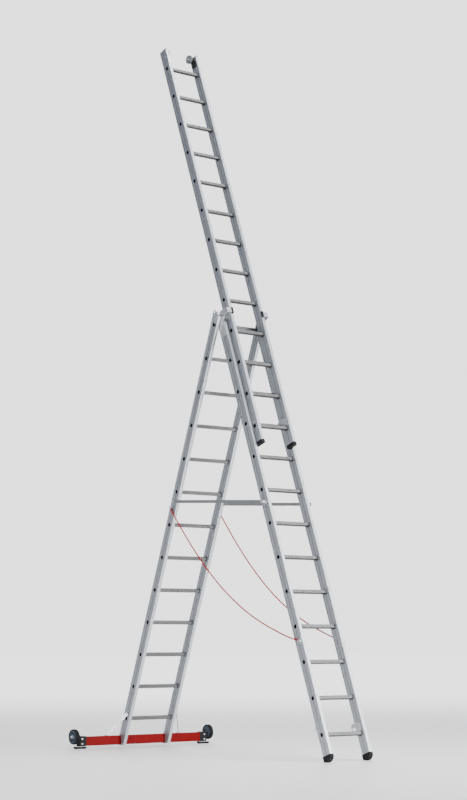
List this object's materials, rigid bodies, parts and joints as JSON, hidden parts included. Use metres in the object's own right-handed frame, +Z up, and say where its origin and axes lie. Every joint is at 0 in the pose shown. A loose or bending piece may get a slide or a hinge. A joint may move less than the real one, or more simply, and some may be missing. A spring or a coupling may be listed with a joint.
{
  "type": "extension ladder",
  "caption": "Combination ladder as an A-frame: rear base section with a wide wheeled stabiliser bar, front middle section, and a top section that slides up it.",
  "frame": {"origin": "on the floor, in the middle of the box of the whole ladder", "axes": "+X from the rear leg (base section) to the front leg (middle section), +Y along the rungs towards the far side, +Z up"},
  "size_m": [2.6642, 1.44, 5.8868],
  "materials": {
    "stile_aluminium": "extruded, satin",
    "rung_aluminium": "extruded, satin",
    "red_paint": "powder coated, semi-gloss",
    "black_plastic": "moulded",
    "grey_plastic": "moulded",
    "foot_rubber": "matt",
    "tyre_rubber": "matt",
    "hub_plastic": "moulded",
    "galvanised_steel": "galvanised",
    "bolt_steel": "zinc plated",
    "dark_steel": "black finish",
    "roller_rubber": "matt",
    "roller_plastic": "moulded",
    "rope": "braided"
  },
  "bodies": {
    "middle": {"middle_stile_near": "stile_aluminium", "middle_stile_far": "stile_aluminium", "middle_rungs": "rung_aluminium", "middle_foot_near": "foot_rubber", "middle_foot_far": "foot_rubber", "middle_rung_hooks": "galvanised_steel", "middle_rivets": "bolt_steel", "guide_plate_near": "galvanised_steel", "guide_plate_far": "galvanised_steel", "guide_rivets": "bolt_steel", "hinge_pin_near": "dark_steel", "hinge_pin_far": "dark_steel", "guide_pad_near": "black_plastic", "guide_pad_far": "black_plastic", "middle_top_caps": "grey_plastic", "spreader_studs": "galvanised_steel", "rope_anchors_middle": "galvanised_steel", "rope_near": "rope", "rope_far": "rope"},
    "base": {"base_stile_near": "stile_aluminium", "base_stile_far": "stile_aluminium", "base_rungs": "rung_aluminium", "base_top_caps": "grey_plastic", "hinge_bushes": "bolt_steel", "base_hinge_plates": "galvanised_steel", "stabiliser_bar": "red_paint", "bar_bolts": "bolt_steel", "bar_end_near": "black_plastic", "bar_end_far": "black_plastic", "bar_end_bolts": "bolt_steel", "foot_plates": "galvanised_steel", "foot_pad_near": "foot_rubber", "foot_pad_far": "foot_rubber", "wheel_axles": "bolt_steel", "struts": "galvanised_steel", "strut_bolts": "bolt_steel", "spreader_pivots": "bolt_steel", "rope_anchors_base": "galvanised_steel"},
    "top": {"top_stile_near": "stile_aluminium", "top_stile_far": "stile_aluminium", "top_rungs": "rung_aluminium", "top_feet": "black_plastic", "top_end_caps": "grey_plastic", "top_rung_hooks": "galvanised_steel", "top_rivets": "bolt_steel", "roller_brackets": "dark_steel", "roller_axles": "bolt_steel"},
    "spreader_near": {"spreader_bar_near": "galvanised_steel"},
    "spreader_far": {"spreader_bar_far": "galvanised_steel"},
    "wheel_near": {"wheel_tyre_near": "tyre_rubber", "wheel_hub_near": "hub_plastic"},
    "wheel_far": {"wheel_tyre_far": "tyre_rubber", "wheel_hub_far": "hub_plastic"},
    "roller_near": {"roller_tyre_near": "roller_rubber", "roller_hub_near": "roller_plastic"},
    "roller_far": {"roller_tyre_far": "roller_rubber", "roller_hub_far": "roller_plastic"}
  },
  "joints": [
    {"name": "fold", "type": "hinge", "parent": "middle", "child": "base", "pos_m": [0.021, 0, 3.38], "axis": [0, -1, 0], "range_deg": [0, 39.8], "deforming": ["rope_near", "rope_far"]},
    {"name": "top_section_slide", "type": "slide", "parent": "middle", "child": "top", "axis": [0.3469, 0, -0.9379], "range_m": [0, 2.52]},
    {"name": "spreader_near_pivot", "type": "hinge", "parent": "base", "child": "spreader_near", "pos_m": [-0.52925, -0.2465, 1.99913], "axis": [0, -1, 0], "range_deg": [0, 71.44]},
    {"name": "spreader_far_pivot", "type": "hinge", "parent": "base", "child": "spreader_far", "pos_m": [-0.52925, 0.2465, 1.99913], "axis": [0, -1, 0], "range_deg": [0, 71.44]},
    {"name": "wheel_near_spin", "type": "hinge", "parent": "base", "child": "wheel_near", "pos_m": [-1.27011, -0.692, 0.097], "axis": [0, 1, 0], "continuous": true},
    {"name": "wheel_far_spin", "type": "hinge", "parent": "base", "child": "wheel_far", "pos_m": [-1.27011, 0.692, 0.097], "axis": [0, 1, 0], "continuous": true},
    {"name": "roller_near_spin", "type": "hinge", "parent": "top", "child": "roller_near", "pos_m": [-0.81798, -0.123, 5.84983], "axis": [0, 1, 0], "continuous": true},
    {"name": "roller_far_spin", "type": "hinge", "parent": "top", "child": "roller_far", "pos_m": [-0.81798, 0.123, 5.84983], "axis": [0, 1, 0], "continuous": true}
  ],
  "couplings": [
    {"joint": "spreader_near_pivot", "follows": "fold", "ratio": 1.7951},
    {"joint": "spreader_far_pivot", "follows": "fold", "ratio": 1.7951}
  ]
}
